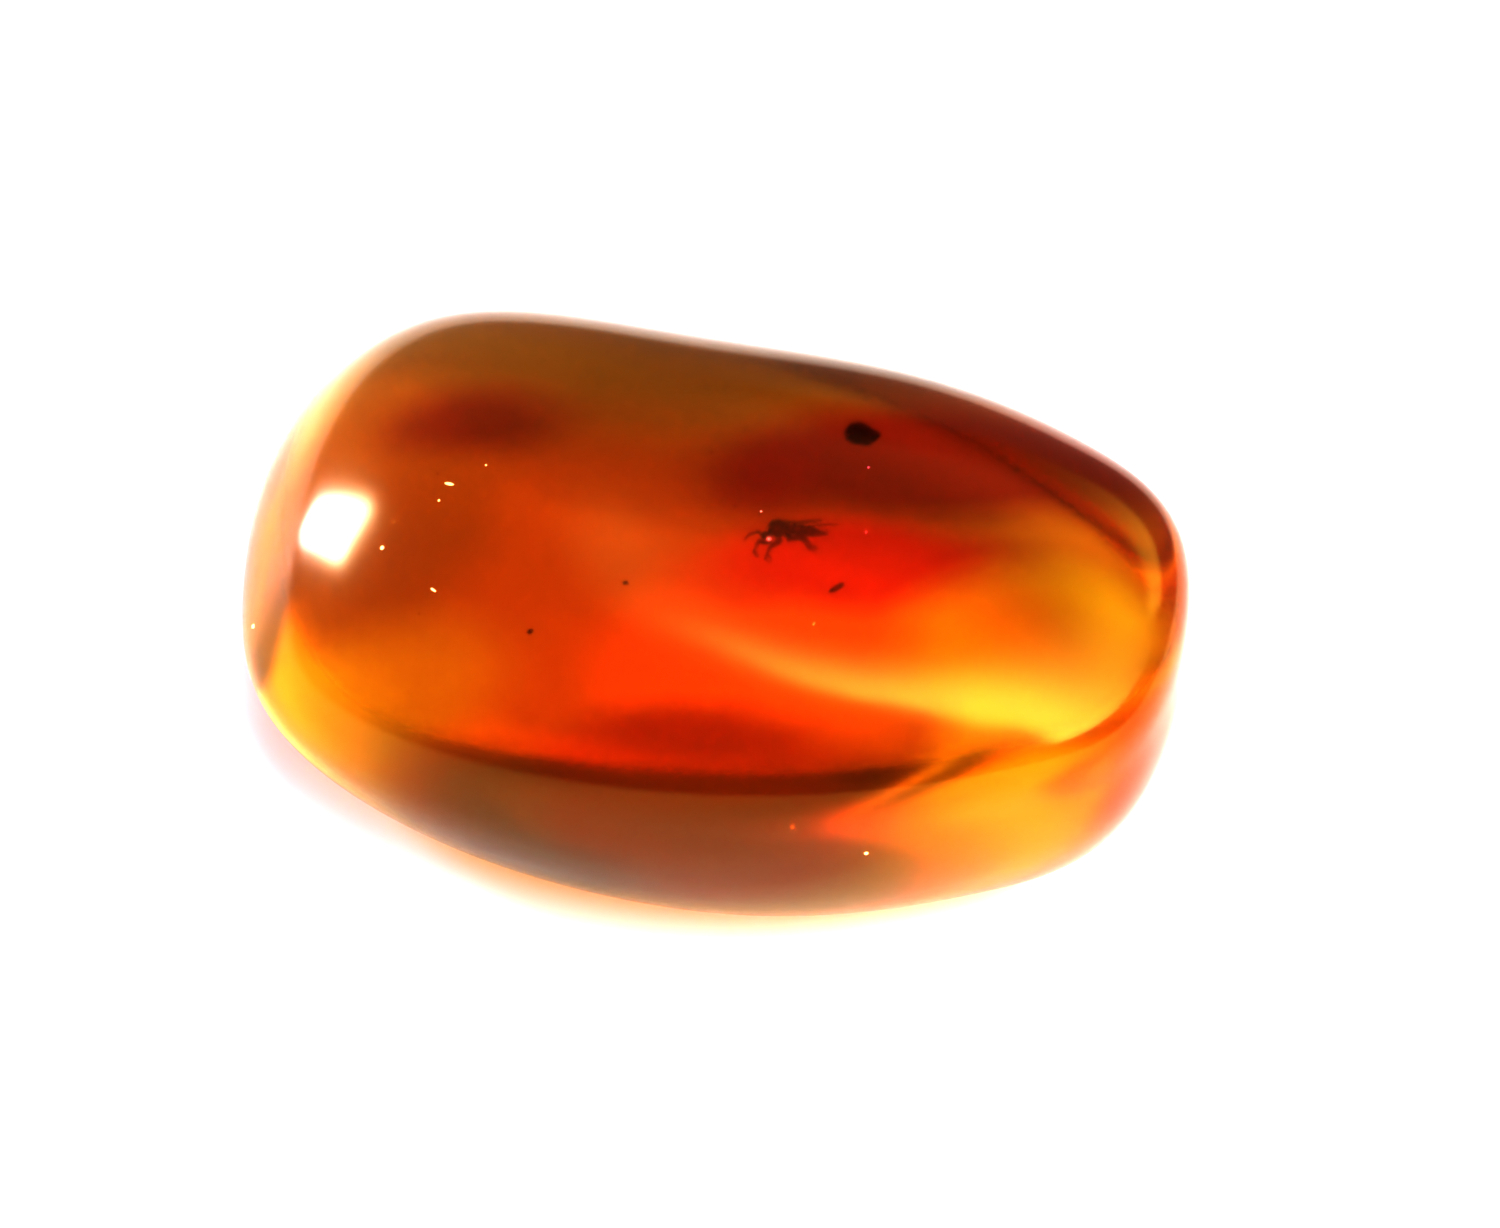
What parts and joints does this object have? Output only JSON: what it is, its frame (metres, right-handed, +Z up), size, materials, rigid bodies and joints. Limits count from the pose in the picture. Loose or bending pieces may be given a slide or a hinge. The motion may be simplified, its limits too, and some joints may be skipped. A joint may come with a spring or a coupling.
{
  "type": "insect in amber",
  "caption": "Polished clear amber pebble, thicker at one end, with a small gnat and two crumbs of bark sealed in its middle.",
  "frame": {"origin": "on the flat resting face, under the middle of the pebble's box", "axes": "+X along the pebble's length towards its thicker end, +Y towards its back, +Z up"},
  "size_m": [0.03, 0.0188, 0.011],
  "materials": {
    "amber": "clear honey to cognac amber, tumbled and polished",
    "chitin": "dark brown insect cuticle, satin",
    "bark": "rough dark bark"
  },
  "bodies": {
    "root": {"amber_upper": "amber", "amber_lower": "amber", "gnat": "chitin", "bark_crumb": "bark", "bark_splinter": "bark"}
  },
  "joints": []
}
